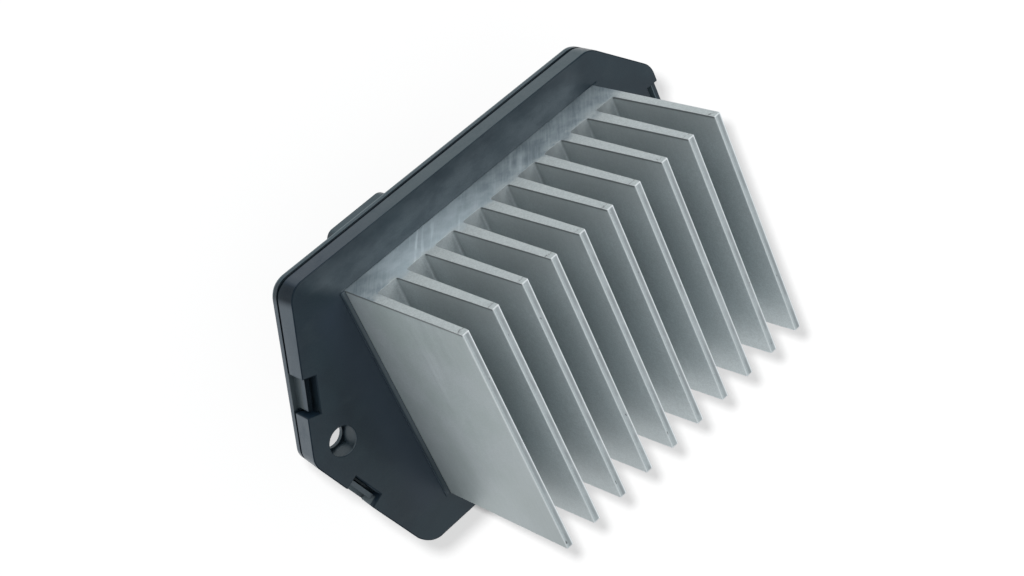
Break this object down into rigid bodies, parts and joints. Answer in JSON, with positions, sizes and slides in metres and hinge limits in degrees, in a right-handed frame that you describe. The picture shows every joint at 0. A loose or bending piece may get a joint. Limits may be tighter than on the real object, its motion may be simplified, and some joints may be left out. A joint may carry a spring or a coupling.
{
  "type": "blower motor resistor",
  "caption": "Finned aluminium heat sink on a black plastic flange with a rear cover and plug socket; controls the speed of a vehicle heater fan from inside its air duct.",
  "frame": {"origin": "midway between the two mounting screw holes, on the front face of the flange", "axes": "+X along the flange from its V-shaped near end to its flat far end, +Y across the flange towards the plug socket, +Z out of the flange face along the fins"},
  "size_m": [0.0931, 0.0584, 0.0559],
  "materials": {
    "aluminium_block": "plain extrusion, mill-finish faces with sawn ends",
    "black_plastic": "moulded, satin, slightly grained",
    "board_green": "solder-masked glass laminate",
    "black_epoxy": "moulded epoxy, matte",
    "tinned_copper": "tin-plated copper alloy, satin",
    "pad_grey": "filled silicone sheet",
    "plated_steel": "zinc-plated",
    "can_sleeve": "aluminium can in a dark shrink sleeve",
    "resistor_ceramic": "dark glazed top",
    "capacitor_ceramic": "tan, matte"
  },
  "bodies": {
    "root": {"heat_sink": "aluminium_block", "front_frame": "black_plastic", "rear_cover": "black_plastic", "circuit_board": "board_green", "transistor_case": "black_epoxy", "transistor_leadframe": "tinned_copper", "insulating_pad": "pad_grey", "transistor_screw": "plated_steel", "transistor_washer": "plated_steel", "heat_sink_screw_near": "plated_steel", "heat_sink_screw_far": "plated_steel", "board_screw_near": "plated_steel", "board_screw_far": "plated_steel", "terminal_supply": "tinned_copper", "terminal_motor": "tinned_copper", "terminal_control": "tinned_copper", "terminal_sense": "tinned_copper", "driver_chip": "black_epoxy", "driver_chip_leads": "tinned_copper", "smoothing_capacitor": "can_sleeve", "capacitor_leads": "tinned_copper", "flyback_diode": "black_epoxy", "flyback_diode_leads": "tinned_copper", "shunt_resistor": "black_epoxy", "chip_resistors": "resistor_ceramic", "chip_capacitors": "capacitor_ceramic"}
  },
  "joints": []
}
